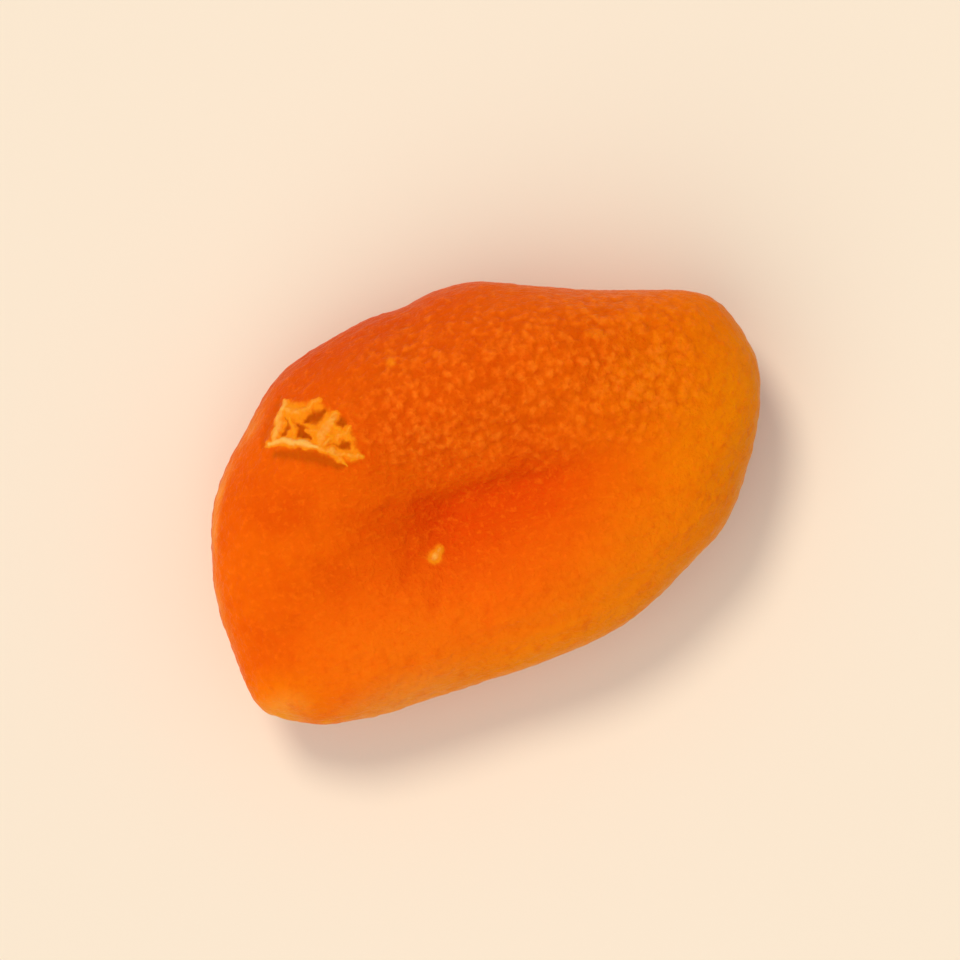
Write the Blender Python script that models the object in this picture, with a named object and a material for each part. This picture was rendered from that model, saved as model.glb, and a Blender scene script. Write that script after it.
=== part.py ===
"""A whole dried apricot with its stone taken out, lying on its flatter side.

The fruit grew as one piece, so it is one closed solid. It starts as a block of square cells, is
rounded into a cushion that has the fruit's own outline, and then takes its folds and wrinkles.

Metres, +Z up. +X runs along the fruit, away from the torn stem end, and +Z is its upper face.
The origin is under the middle of the fruit's box, on the surface that the fruit lies on.
"""

import bisect
import math

import bmesh
import bpy
from mathutils import Vector, noise

MM = 0.001

# Driving dimensions
LENGTH = 44.0 * MM
WIDTH = 28.6 * MM
TOP_RISE = 7.25 * MM
BELLY_DROP = 5.35 * MM
TOP_FULLNESS = 2.45
BELLY_FULLNESS = 2.5
END_LIFT = 1.1 * MM
BODY_SWAY = 0.45 * MM

# The belly bulges round the spot that the fruit rests on, and is pressed flat there
REST_CENTRE = Vector((0.4, 0.3)) * MM
REST_REACH = Vector((11.5, 8.5)) * MM
REST_BULGE = 0.8 * MM
REST_PRESS = 0.4 * MM

# The outline seen from above, anticlockwise from the blunt end, as a smooth curve's own points
OUTLINE = [
    Vector(point) * MM
    for point in (
        (21.8, 3.1), (19.8, 5.6), (13.9, 8.6), (7.4, 12.7), (3.8, 13.8),
        (0.9, 13.9), (-2.4, 14.3), (-8.9, 13.6), (-12.5, 11.6), (-16.5, 8.8),
        (-18.7, 6.2), (-20.7, 1.7), (-21.5, -2.6), (-21.9, -6.0), (-21.6, -7.8),
        (-20.4, -8.7), (-19.3, -9.8), (-17.7, -10.7), (-15.0, -11.5), (-11.4, -12.2),
        (2.9, -14.3), (12.0, -12.2), (16.0, -10.1), (20.2, -5.6), (22.0, -1.7),
    )
]
OUTLINE_STEPS = 24

# The hollow where the stone was pressed out, under the edge of the upper lobe
HOLLOW_CENTRE = Vector((-1.0, -1.6)) * MM
HOLLOW_DEPTH = 1.8 * MM
HOLLOW_LOBE_REACH = Vector((12.5, 5.0)) * MM
HOLLOW_RIM_REACH = Vector((12.5, 6.5)) * MM
FOLD_DROP = 0.9 * MM
FOLD_SLOPE = -0.21
FOLD_OFFSET = -0.3 * MM
FOLD_WAVE = 0.6 * MM
FOLD_WAVE_LENGTH = 31.0 * MM
FOLD_START = -11.5 * MM
FOLD_DEEP_FROM = -3.5 * MM
FOLD_DEEP_TO = 4.5 * MM
FOLD_END = 14.5 * MM
FOLD_WIDTH = 2.2 * MM
FOLD_FLOOR = 4.5 * MM
DIMPLE_CENTRE = Vector((-2.6, -0.7)) * MM
DIMPLE_DEPTH = 0.4 * MM
DIMPLE_REACH = Vector((2.4, 2.4)) * MM
LOBE_CREST = Vector((1.0, 7.2)) * MM
LOBE_RISE = 0.9 * MM
LOBE_REACH = Vector((13.0, 4.2)) * MM
LOWER_SWELL = Vector((-8.0, -7.5)) * MM
LOWER_RISE = 0.5 * MM
LOWER_REACH = Vector((9.0, 4.0)) * MM

# Short grooves that fan out from the dimple over the lower half, and their ends
FAN_ENDS = [Vector(point) * MM for point in ((-9.4, -5.6), (-8.0, -8.4), (-5.6, -9.8), (4.6, -7.4))]
FAN_DEPTH = 0.2 * MM
FAN_WIDTH = 0.8 * MM

# The torn skin at the stem end, a ragged raised scab
TEAR_CENTRE = Vector((-9.4, 8.6)) * MM
TEAR_TURN = math.radians(-28.0)
TEAR_REACH = Vector((3.4, 2.2)) * MM
TEAR_RISE = 0.35 * MM
TEAR_LIP_SPACING = 2.2 * MM
TEAR_LIP_DEPTH = 0.12 * MM

# The seam that runs from the stem end to the tip round the near side's rim, where the upper skin
# laps over the lower one. Its level and width are shares of the height.
SEAM_DEPTH = 0.55 * MM
SEAM_LAP = 0.3 * MM
SEAM_LEVEL = -0.12
SEAM_WIDTH = 0.3
SEAM_FULL_FROM = 9.0 * MM

# The hollow of the belly, folded in beside the resting spot
BELLY_FOLD_CENTRE = Vector((6.0, 8.0)) * MM
BELLY_FOLD_REACH = Vector((8.0, 2.4)) * MM
BELLY_FOLD_DEPTH = 1.1 * MM

# Pleats drawn in round the pinched tip
TIP = Vector((-21.0, -8.4)) * MM
TIP_ACROSS = Vector((-0.42, 0.91))
TIP_REACH = 5.0 * MM
TIP_PLEATS = 9
TIP_PLEAT_DEPTH = 0.16 * MM

# Slack skin: long swells, ripples, and the wrinkles that run lengthwise. The wrinkles are deepest
# round the rim, where the tighter skin moves outwards by only a share of them, and on the belly.
SWELL_LENGTH = 13.0 * MM
SWELL_HEIGHT = 0.55 * MM
SWELL_SHIFT = Vector((3.1, 0.0, 7.7))
RIPPLE_LENGTH = 6.0 * MM
RIPPLE_HEIGHT = 0.28 * MM
RIPPLE_SHIFT = Vector((0.0, 5.3, 1.9))
WRINKLE_LENGTH = Vector((13.0, 3.0, 2.6)) * MM
WRINKLE_DEPTH = 0.25 * MM
WRINKLE_WANDER = 0.8
WRINKLE_NARROWING = 2.4
WRINKLE_ON_FACES = 0.25
RIM_TIGHTNESS = 0.6
BELLY_SLACK = 0.7

# Cells of the block, about 1 mm across, how much of the radius its flat sides take, and how
# near the rim, as a share of the height, the skin's relief turns from upwards to outwards
CELLS = (44, 29, 12)
FACE_SHARE = 0.86
RIM_BAND = 0.62
TINY = 1e-6

SKIN_COLOUR = (0.80, 0.12, 0.004, 1.0)
SKIN_ROUGHNESS = 0.42


def clear_scene():
    """Start from an empty scene."""
    for scene_object in list(bpy.data.objects):
        bpy.data.objects.remove(scene_object, do_unlink=True)


def smooth_step(low, high, value):
    """0 at low and before it, 1 at high and past it, and an S-curve between them."""
    share = min(max((value - low) / (high - low), 0.0), 1.0)
    return share * share * (3.0 - 2.0 * share)


def bump(offset, reach):
    """A round hill of height 1, whose sides fall off over reach in x and y."""
    return math.exp(-((offset.x / reach.x) ** 2) - (offset.y / reach.y) ** 2)


def distance_along(point, start, end):
    """How far a point is from the line from start to end, and its share of the way along."""
    run = end - start
    share = min(max((point - start).dot(run) / run.length_squared, 0.0), 1.0)
    return (point - start - run * share).length, share


def make_outline():
    """The outline as (angle, radius) pairs in the order of their angles."""
    count = len(OUTLINE)
    curve = []
    for index in range(count):
        before, start, end, after = (OUTLINE[(index + step) % count] for step in (-1, 0, 1, 2))
        for step in range(OUTLINE_STEPS):
            t = step / OUTLINE_STEPS
            point = 0.5 * (
                2.0 * start
                + (end - before) * t
                + (2.0 * before - 5.0 * start + 4.0 * end - after) * t ** 2
                + (3.0 * start - before - 3.0 * end + after) * t ** 3
            )
            curve.append((math.atan2(point.y, point.x), point.length))
    return sorted(curve)


def outline_radius(outline, angle):
    """The outline's radius in the direction of an angle."""
    after = bisect.bisect_left(outline, (angle, 0.0))
    last_angle, last_radius = outline[after - 1]
    next_angle, next_radius = outline[after % len(outline)]
    gap = (next_angle - last_angle) % math.tau
    share = ((angle - last_angle) % math.tau) / gap
    return last_radius + (next_radius - last_radius) * share


def cushion_point(outline, cell):
    """The place of a block's corner (each of x, y and z from -1 to 1) on the plain cushion.

    Returns the place, its share of the radius, and its share of the height, from -1 to 1.
    """
    disc_x = cell.x * math.sqrt(1.0 - cell.y ** 2 / 2.0)
    disc_y = cell.y * math.sqrt(1.0 - cell.x ** 2 / 2.0)
    disc = Vector((disc_x, disc_y))
    angle = math.atan2(disc.y * WIDTH, disc.x * LENGTH)
    fullness = TOP_FULLNESS if cell.z > 0.0 else BELLY_FULLNESS
    if abs(cell.z) > 1.0 - TINY:
        share = disc.length * FACE_SHARE
        height = math.copysign((1.0 - share ** fullness) ** (1.0 / fullness), cell.z)
    else:
        edge_turn = math.acos(FACE_SHARE ** (fullness / 2.0))
        turn = edge_turn * abs(cell.z)
        share = math.cos(turn) ** (2.0 / fullness)
        height = math.copysign(math.sin(turn) ** (2.0 / fullness), cell.z)
    own_radius = outline_radius(outline, angle)
    oval_radius = 0.5 / math.hypot(math.cos(angle) / LENGTH, math.sin(angle) / WIDTH)
    radius = oval_radius + (own_radius - oval_radius) * share ** 2
    plan = Vector((math.cos(angle), math.sin(angle))) * radius * share
    rise = height * (TOP_RISE if height > 0.0 else BELLY_DROP)
    along = plan.x / (LENGTH / 2.0)
    sway = BODY_SWAY * math.sin(math.pi * along) * (1.0 + height) / 2.0
    return Vector((plan.x, plan.y, rise + END_LIFT * along ** 2 + sway)), share, height


def fold_line(x):
    """Where the edge of the upper lobe lies at x."""
    return FOLD_OFFSET + FOLD_SLOPE * x + FOLD_WAVE * math.sin(math.tau * x / FOLD_WAVE_LENGTH)


def fold_drop(plan):
    """How far the skin drops from the upper lobe's edge, easing out over the hollow's floor."""
    across = plan.y - fold_line(plan.x)
    deep = smooth_step(FOLD_START, FOLD_DEEP_FROM, plan.x) * smooth_step(FOLD_END, FOLD_DEEP_TO, plan.x)
    under_lobe = smooth_step(FOLD_WIDTH / 2.0, -FOLD_WIDTH / 2.0, across)
    return FOLD_DROP * deep * under_lobe * math.exp(min(across, 0.0) / FOLD_FLOOR)


def fan_depth(plan):
    """The depth of the grooves that fan out from the dimple."""
    depth = 0.0
    for end in FAN_ENDS:
        away, share = distance_along(plan, DIMPLE_CENTRE, end)
        depth += FAN_DEPTH * math.sin(math.pi * share) * math.exp(-((away / FAN_WIDTH) ** 2))
    return depth


def top_relief(plan):
    """How much higher or lower the upper face is than the plain cushion."""
    from_centre = plan - HOLLOW_CENTRE
    reach = HOLLOW_LOBE_REACH if from_centre.y > 0.0 else HOLLOW_RIM_REACH
    sunk = HOLLOW_DEPTH * bump(from_centre, reach) + fold_drop(plan) + fan_depth(plan)
    sunk += DIMPLE_DEPTH * bump(plan - DIMPLE_CENTRE, DIMPLE_REACH)
    raised = LOBE_RISE * bump(plan - LOBE_CREST, LOBE_REACH)
    raised += LOWER_RISE * bump(plan - LOWER_SWELL, LOWER_REACH)
    return raised - sunk + tear_relief(plan)


def tear_relief(plan):
    """The ragged scab of torn skin, with lips along it."""
    offset = plan - TEAR_CENTRE
    turned = Vector((
        offset.x * math.cos(TEAR_TURN) + offset.y * math.sin(TEAR_TURN),
        offset.y * math.cos(TEAR_TURN) - offset.x * math.sin(TEAR_TURN),
    ))
    cover = math.exp(-(((turned.x / TEAR_REACH.x) ** 2 + (turned.y / TEAR_REACH.y) ** 2) ** 2))
    lips = math.cos(math.tau * turned.y / TEAR_LIP_SPACING)
    return cover * (TEAR_RISE + TEAR_LIP_DEPTH * lips)


def belly_relief(plan):
    """How much higher or lower the under face is than the plain cushion."""
    fold = BELLY_FOLD_DEPTH * bump(plan - BELLY_FOLD_CENTRE, BELLY_FOLD_REACH)
    return fold - REST_BULGE * bump(plan - REST_CENTRE, REST_REACH)


def seam_inset(plan, height):
    """How far the rim is drawn in along the seam, outwards being less."""
    near_side = smooth_step(0.0, SEAM_FULL_FROM, -plan.y)
    groove = SEAM_DEPTH * math.exp(-(((height - SEAM_LEVEL) / SEAM_WIDTH) ** 2))
    lap = SEAM_LAP * smooth_step(SEAM_LEVEL + SEAM_WIDTH, SEAM_LEVEL - SEAM_WIDTH, height)
    return near_side * (groove + lap)


def tip_pleats(place):
    """The depth of the pleats round the pinched tip."""
    offset = Vector((place.x, place.y)) - TIP
    nearness = math.exp(-((offset.length / TIP_REACH) ** 2))
    around = math.atan2(place.z, offset.dot(TIP_ACROSS))
    return TIP_PLEAT_DEPTH * nearness * math.cos(TIP_PLEATS * around)


def slack_skin(place, share, height):
    """The swells and lengthwise wrinkles of the skin, outwards being more."""
    swell = SWELL_HEIGHT * noise.noise(place / SWELL_LENGTH + SWELL_SHIFT)
    ripple = RIPPLE_HEIGHT * noise.noise(place / RIPPLE_LENGTH + RIPPLE_SHIFT)
    grain = Vector([place[axis] / WRINKLE_LENGTH[axis] for axis in range(3)])
    grain.y += WRINKLE_WANDER * noise.noise(place / SWELL_LENGTH)
    furrow = max(1.0 - WRINKLE_NARROWING * abs(noise.noise(grain)), 0.0) ** 2
    depth = WRINKLE_DEPTH * (WRINKLE_ON_FACES + (1.0 - WRINKLE_ON_FACES) * share ** 2)
    depth *= 1.0 + BELLY_SLACK * smooth_step(0.0, -0.5, height)
    return swell + ripple - depth * furrow


def skin_point(outline, cell):
    """The place of a block's corner on the finished fruit, before it is set down."""
    place, share, height = cushion_point(outline, cell)
    plan = Vector((place.x, place.y))
    facing = min(abs(height) / RIM_BAND, 1.0)
    outwards = Vector((plan.x / LENGTH ** 2, plan.y / WIDTH ** 2)).normalized()
    slack = slack_skin(place, share, height) - tip_pleats(place)
    relief = top_relief(plan) if height > 0.0 else belly_relief(plan)
    rise = relief * facing + slack * math.copysign(facing, height)
    side = slack * (1.0 - facing) * RIM_TIGHTNESS - seam_inset(plan, height) * share
    return place + Vector((outwards.x * side, outwards.y * side, rise))


def make_block():
    """A block of square cells, each of x, y and z from -1 to 1."""
    block = bmesh.new()
    bmesh.ops.create_cube(block, size=2.0)
    for axis, cells in enumerate(CELLS):
        along = [
            edge for edge in block.edges
            if abs((edge.verts[0].co - edge.verts[1].co)[axis]) > TINY
        ]
        bmesh.ops.subdivide_edges(block, edges=along, cuts=cells - 1, use_grid_fill=True)
    return block


def set_down(fruit):
    """Press the belly flat where the fruit rests, and move the origin under its middle."""
    rest = min(vert.co.z for vert in fruit.verts) + REST_PRESS
    for vert in fruit.verts:
        vert.co.z = max(vert.co.z, rest)
    low = Vector([min(vert.co[axis] for vert in fruit.verts) for axis in range(3)])
    high = Vector([max(vert.co[axis] for vert in fruit.verts) for axis in range(3)])
    middle = (low + high) / 2.0
    bmesh.ops.translate(fruit, verts=fruit.verts, vec=Vector((-middle.x, -middle.y, -rest)))


def skin_material():
    """Satin orange skin."""
    material = bpy.data.materials.new("dried_skin")
    material.use_nodes = True
    shader = material.node_tree.nodes["Principled BSDF"]
    shader.inputs["Base Color"].default_value = SKIN_COLOUR
    shader.inputs["Roughness"].default_value = SKIN_ROUGHNESS
    shader.inputs["Metallic"].default_value = 0.0
    return material


def make_apricot():
    """The fruit as one closed solid."""
    outline = make_outline()
    fruit = make_block()
    for vert in fruit.verts:
        vert.co = skin_point(outline, vert.co.copy())
    set_down(fruit)
    bmesh.ops.recalc_face_normals(fruit, faces=fruit.faces)
    bmesh.ops.triangulate(fruit, faces=fruit.faces)
    mesh = bpy.data.meshes.new("apricot")
    fruit.to_mesh(mesh)
    fruit.free()
    mesh.shade_smooth()
    mesh.materials.append(skin_material())
    bpy.context.scene.collection.objects.link(bpy.data.objects.new("apricot", mesh))


clear_scene()
make_apricot()
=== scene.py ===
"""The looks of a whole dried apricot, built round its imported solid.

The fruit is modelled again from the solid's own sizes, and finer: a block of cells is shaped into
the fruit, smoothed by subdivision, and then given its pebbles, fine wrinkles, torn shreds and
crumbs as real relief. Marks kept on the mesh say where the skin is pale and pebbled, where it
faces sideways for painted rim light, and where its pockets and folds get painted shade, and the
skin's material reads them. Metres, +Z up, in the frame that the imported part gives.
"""

from __future__ import annotations

import bisect
import itertools
import logging
import math
from collections.abc import Callable, Sequence
from dataclasses import dataclass, field
from enum import Enum

import bmesh
import bpy
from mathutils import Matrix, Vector, noise

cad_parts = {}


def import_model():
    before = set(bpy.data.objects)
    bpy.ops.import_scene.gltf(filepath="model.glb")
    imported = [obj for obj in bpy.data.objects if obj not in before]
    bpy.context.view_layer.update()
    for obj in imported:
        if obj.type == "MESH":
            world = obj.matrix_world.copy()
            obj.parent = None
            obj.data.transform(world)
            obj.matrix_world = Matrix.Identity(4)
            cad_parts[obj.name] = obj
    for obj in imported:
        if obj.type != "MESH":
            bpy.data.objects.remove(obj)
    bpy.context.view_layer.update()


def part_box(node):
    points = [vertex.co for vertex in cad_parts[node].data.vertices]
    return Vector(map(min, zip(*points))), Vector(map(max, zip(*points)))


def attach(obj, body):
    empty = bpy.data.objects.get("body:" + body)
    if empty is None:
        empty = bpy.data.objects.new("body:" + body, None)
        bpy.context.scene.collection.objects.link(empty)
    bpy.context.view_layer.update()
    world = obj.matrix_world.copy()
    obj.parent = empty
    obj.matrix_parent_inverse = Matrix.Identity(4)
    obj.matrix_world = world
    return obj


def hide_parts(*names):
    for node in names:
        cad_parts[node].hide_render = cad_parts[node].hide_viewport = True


MM = 0.001
TINY = 1e-6
NOISE_MIDDLE = 0.5

log = logging.getLogger("apricot")


def mm(*sizes: float) -> Vector:
    """A vector of sizes that are given in millimetres."""
    return Vector(sizes) * MM


def smooth_step(low: float, high: float, value: float) -> float:
    """0 at low and before it, 1 at high and past it, and an S-curve between them.

    Args:
        low: where the curve leaves 0.
        high: where the curve reaches 1; it may be the smaller of the two.
        value: the place on the curve.

    Returns:
        The height of the curve.
    """
    share = min(max((value - low) / (high - low), 0.0), 1.0)
    return share * share * (3.0 - 2.0 * share)


def hill(offset: Vector, reach: Vector) -> float:
    """A round hill of height 1.

    Args:
        offset: the place, seen from the hill's top.
        reach: how far the hill's sides fall off in each direction.

    Returns:
        The hill's height there.
    """
    return math.exp(-sum((part / size) ** 2 for part, size in zip(offset, reach)))


def distance_along(point: Vector, start: Vector, end: Vector) -> tuple[float, float]:
    """How far a point is from a straight line.

    Args:
        point: the place.
        start: the line's start.
        end: the line's end.

    Returns:
        The distance, and the share of the way along at which the line comes nearest.
    """
    run = end - start
    share = min(max((point - start).dot(run) / run.length_squared, 0.0), 1.0)
    return (point - start - run * share).length, share


class Mark(Enum):
    """What the mesh remembers about its skin, each from 0 to 1."""

    PALE = "pale"
    # painted shade: how much painted shade falls in a pocket of the torn patch
    POCKET_SHADE = "pocket_shade"
    GRAIN = "grain"
    BAND = "band"
    # painted rim light: high where the skin faces sideways and partly up
    RIM_LIGHT = "rim"
    # painted shade: how much painted shade falls in the hollow, under the fold and in the furrows
    FOLD_SHADE = "sunk"


@dataclass
class Outline:
    """The fruit's outline seen from above, a smooth closed curve through a few points."""

    points: tuple[Vector, ...] = (
        mm(21.8, 3.1), mm(19.8, 5.6), mm(13.9, 8.6), mm(7.4, 12.7), mm(3.8, 13.8),
        mm(0.9, 13.9), mm(-2.4, 14.3), mm(-8.9, 13.6), mm(-12.5, 11.6), mm(-16.5, 8.8),
        mm(-18.7, 6.2), mm(-20.7, 1.7), mm(-21.5, -2.6), mm(-21.9, -6.0), mm(-21.6, -7.8),
        mm(-20.4, -8.7), mm(-19.3, -9.8), mm(-17.7, -10.7), mm(-15.0, -11.5), mm(-11.4, -12.2),
        mm(2.9, -14.3), mm(12.0, -12.2), mm(16.0, -10.1), mm(20.2, -5.6), mm(22.0, -1.7),
    )
    steps: int = 24
    curve: list[tuple[float, float]] = field(default_factory=list)

    def __post_init__(self) -> None:
        """Run the smooth curve through the points, as pairs of an angle and a radius."""
        count = len(self.points)
        for index in range(count):
            corners = [self.points[(index + step) % count] for step in (-1, 0, 1, 2)]
            for step in range(self.steps):
                point = self.between(*corners, step / self.steps)
                self.curve.append((math.atan2(point.y, point.x), point.length))
        self.curve.sort()

    @staticmethod
    def between(before: Vector, start: Vector, end: Vector, after: Vector, t: float) -> Vector:
        """A point of the smooth curve between two of its corners.

        Args:
            before: the corner before the start.
            start: the corner at t = 0.
            end: the corner at t = 1.
            after: the corner after the end.
            t: the share of the way from the start to the end.

        Returns:
            The point.
        """
        return 0.5 * (
            2.0 * start
            + (end - before) * t
            + (2.0 * before - 5.0 * start + 4.0 * end - after) * t ** 2
            + (3.0 * start - before - 3.0 * end + after) * t ** 3
        )

    def radius(self, angle: float) -> float:
        """The outline's radius in the direction of an angle.

        Args:
            angle: the direction in radians, from -pi to pi.

        Returns:
            The radius in metres.
        """
        after = bisect.bisect_left(self.curve, (angle, 0.0))
        last_angle, last_radius = self.curve[after - 1]
        next_angle, next_radius = self.curve[after % len(self.curve)]
        share = ((angle - last_angle) % math.tau) / ((next_angle - last_angle) % math.tau)
        return last_radius + (next_radius - last_radius) * share

    def share(self, plan: Vector) -> float:
        """How far out a place lies, as a share of the outline's radius there."""
        return plan.length / self.radius(math.atan2(plan.y, plan.x))


@dataclass
class FruitForm:
    """The fruit's main shape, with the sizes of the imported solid."""

    outline: Outline = field(default_factory=Outline)
    length: float = 44.0 * MM
    width: float = 28.6 * MM
    top_rise: float = 7.25 * MM
    belly_drop: float = 5.35 * MM
    top_fullness: float = 2.45
    belly_fullness: float = 2.5
    end_lift: float = 1.1 * MM
    body_sway: float = 0.45 * MM
    face_share: float = 0.86
    rim_band: float = 0.62

    rest_centre: Vector = mm(0.4, 0.3)
    rest_reach: Vector = mm(11.5, 8.5)
    rest_bulge: float = 0.8 * MM

    hollow_centre: Vector = mm(-1.0, -1.6)
    hollow_depth: float = 1.8 * MM
    hollow_lobe_reach: Vector = mm(12.5, 5.0)
    hollow_rim_reach: Vector = mm(12.5, 6.5)
    shade: float = 0.6
    fold_drop: float = 0.9 * MM
    fold_slope: float = -0.21
    fold_offset: float = -0.3 * MM
    fold_wave: float = 0.6 * MM
    fold_wave_length: float = 31.0 * MM
    fold_start: float = -11.5 * MM
    fold_deep_from: float = -3.5 * MM
    fold_deep_to: float = 4.5 * MM
    fold_end: float = 14.5 * MM
    fold_width: float = 2.2 * MM
    fold_floor: float = 4.5 * MM
    dimple_centre: Vector = mm(-2.6, -0.7)
    dimple_depth: float = 0.4 * MM
    dimple_reach: Vector = mm(2.4, 2.4)
    lobe_crest: Vector = mm(1.0, 7.2)
    lobe_rise: float = 0.9 * MM
    lobe_reach: Vector = mm(13.0, 4.2)
    lower_swell: Vector = mm(-8.0, -7.5)
    lower_rise: float = 0.5 * MM
    lower_reach: Vector = mm(9.0, 4.0)

    fan_ends: tuple[Vector, ...] = (mm(-9.4, -5.6), mm(-8.0, -8.4), mm(-5.6, -9.8), mm(4.6, -7.4))
    fan_depth: float = 0.2 * MM
    fan_width: float = 0.8 * MM

    seam_depth: float = 0.55 * MM
    seam_lap: float = 0.3 * MM
    seam_level: float = -0.12
    seam_width: float = 0.3
    seam_full_from: float = 9.0 * MM

    belly_fold_centre: Vector = mm(6.0, 8.0)
    belly_fold_reach: Vector = mm(8.0, 2.4)
    belly_fold_depth: float = 1.1 * MM

    tip: Vector = mm(-21.0, -8.4)
    tip_across: Vector = Vector((-0.42, 0.91))
    tip_reach: float = 5.0 * MM
    tip_pleats: int = 9
    tip_pleat_depth: float = 0.16 * MM

    swell_length: float = 13.0 * MM
    swell_height: float = 0.55 * MM
    swell_shift: Vector = Vector((3.1, 0.0, 7.7))
    ripple_length: float = 6.0 * MM
    ripple_height: float = 0.28 * MM
    ripple_shift: Vector = Vector((0.0, 5.3, 1.9))
    wrinkle_length: Vector = mm(13.0, 3.0, 2.6)
    wrinkle_depth: float = 0.25 * MM
    wrinkle_wander: float = 0.8
    wrinkle_narrowing: float = 2.4
    wrinkle_on_faces: float = 0.25
    rim_tightness: float = 0.6
    belly_slack: float = 0.7
    belly_slack_level: float = -0.5

    def cushion_point(self, cell: Vector) -> tuple[Vector, float, float]:
        """The place of a block's corner on the plain cushion.

        Args:
            cell: the corner, each of x, y and z from -1 to 1.

        Returns:
            The place, its share of the radius, and its share of the height, from -1 to 1.
        """
        disc_x = cell.x * math.sqrt(1.0 - cell.y ** 2 / 2.0)
        disc_y = cell.y * math.sqrt(1.0 - cell.x ** 2 / 2.0)
        angle = math.atan2(disc_y * self.width, disc_x * self.length)
        fullness = self.top_fullness if cell.z > 0.0 else self.belly_fullness
        if abs(cell.z) > 1.0 - TINY:
            share = math.hypot(disc_x, disc_y) * self.face_share
            height = math.copysign((1.0 - share ** fullness) ** (1.0 / fullness), cell.z)
        else:
            turn = math.acos(self.face_share ** (fullness / 2.0)) * abs(cell.z)
            share = math.cos(turn) ** (2.0 / fullness)
            height = math.copysign(math.sin(turn) ** (2.0 / fullness), cell.z)
        oval_radius = 0.5 / math.hypot(math.cos(angle) / self.length, math.sin(angle) / self.width)
        radius = oval_radius + (self.outline.radius(angle) - oval_radius) * share ** 2
        plan = Vector((math.cos(angle), math.sin(angle))) * radius * share
        rise = height * (self.top_rise if height > 0.0 else self.belly_drop)
        along = plan.x / (self.length / 2.0)
        sway = self.body_sway * math.sin(math.pi * along) * (1.0 + height) / 2.0
        return Vector((plan.x, plan.y, rise + self.end_lift * along ** 2 + sway)), share, height

    def fold_line(self, x: float) -> float:
        """Where the edge of the upper lobe lies at x."""
        wave = self.fold_wave * math.sin(math.tau * x / self.fold_wave_length)
        return self.fold_offset + self.fold_slope * x + wave

    def fold_share(self, plan: Vector) -> float:
        """How far the skin has dropped from the upper lobe's edge.

        Args:
            plan: the place seen from above.

        Returns:
            The share of the full drop, easing out over the hollow's floor.
        """
        across = plan.y - self.fold_line(plan.x)
        deep = smooth_step(self.fold_start, self.fold_deep_from, plan.x)
        deep *= smooth_step(self.fold_end, self.fold_deep_to, plan.x)
        under_lobe = smooth_step(self.fold_width / 2.0, -self.fold_width / 2.0, across)
        return deep * under_lobe * math.exp(min(across, 0.0) / self.fold_floor)

    def hollow_share(self, plan: Vector) -> float:
        """How deep the place lies in the hollow, from 0 to 1."""
        from_centre = plan - self.hollow_centre
        reach = self.hollow_lobe_reach if from_centre.y > 0.0 else self.hollow_rim_reach
        return hill(from_centre, reach)

    def sunk_share(self, plan: Vector) -> float:
        """How deep and shaded the place is in the hollow and under the fold, from 0 to 1."""
        hollow = self.shade * self.hollow_share(plan) ** 2
        return min(hollow + self.shade * self.fold_share(plan), 1.0)

    def fan_relief(self, plan: Vector) -> float:
        """The depth of the grooves that fan out from the dimple.

        Args:
            plan: the place seen from above.

        Returns:
            The depth in metres.
        """
        depth = 0.0
        for end in self.fan_ends:
            away, share = distance_along(plan, self.dimple_centre, end)
            depth += math.sin(math.pi * share) * math.exp(-((away / self.fan_width) ** 2))
        return depth * self.fan_depth

    def top_relief(self, plan: Vector) -> float:
        """How much higher or lower the upper face is than the plain cushion.

        Args:
            plan: the place seen from above.

        Returns:
            The height in metres.
        """
        sunk = self.hollow_depth * self.hollow_share(plan) + self.fold_drop * self.fold_share(plan)
        sunk += self.fan_relief(plan)
        sunk += self.dimple_depth * hill(plan - self.dimple_centre, self.dimple_reach)
        raised = self.lobe_rise * hill(plan - self.lobe_crest, self.lobe_reach)
        raised += self.lower_rise * hill(plan - self.lower_swell, self.lower_reach)
        return raised - sunk

    def belly_relief(self, plan: Vector) -> float:
        """How much higher or lower the under face is than the plain cushion."""
        fold = self.belly_fold_depth * hill(plan - self.belly_fold_centre, self.belly_fold_reach)
        return fold - self.rest_bulge * hill(plan - self.rest_centre, self.rest_reach)

    def seam_inset(self, plan: Vector, height: float) -> float:
        """How far the near side's rim is drawn in along the seam, where the upper skin laps over.

        Args:
            plan: the place seen from above.
            height: the place's share of the height.

        Returns:
            The inset in metres.
        """
        near_side = smooth_step(0.0, self.seam_full_from, -plan.y)
        groove = math.exp(-(((height - self.seam_level) / self.seam_width) ** 2))
        lap = smooth_step(self.seam_level + self.seam_width, self.seam_level - self.seam_width, height)
        return near_side * (self.seam_depth * groove + self.seam_lap * lap)

    def pleats(self, place: Vector) -> float:
        """The depth of the pleats round the pinched tip."""
        offset = place.xy - self.tip
        nearness = math.exp(-((offset.length / self.tip_reach) ** 2))
        around = math.atan2(place.z, offset.dot(self.tip_across))
        return self.tip_pleat_depth * nearness * math.cos(self.tip_pleats * around)

    def slack_skin(self, place: Vector, share: float, height: float) -> float:
        """The swells and lengthwise wrinkles of the skin.

        Args:
            place: the place on the cushion.
            share: its share of the radius.
            height: its share of the height.

        Returns:
            How far the skin stands out, in metres.
        """
        swell = self.swell_height * noise.noise(place / self.swell_length + self.swell_shift)
        ripple = self.ripple_height * noise.noise(place / self.ripple_length + self.ripple_shift)
        grain = Vector([place[axis] / self.wrinkle_length[axis] for axis in range(3)])
        grain.y += self.wrinkle_wander * noise.noise(place / self.swell_length)
        furrow = max(1.0 - self.wrinkle_narrowing * abs(noise.noise(grain)), 0.0) ** 2
        depth = self.wrinkle_on_faces + (1.0 - self.wrinkle_on_faces) * share ** 2
        depth *= 1.0 + self.belly_slack * smooth_step(0.0, self.belly_slack_level, height)
        return swell + ripple - self.wrinkle_depth * depth * furrow

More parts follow.
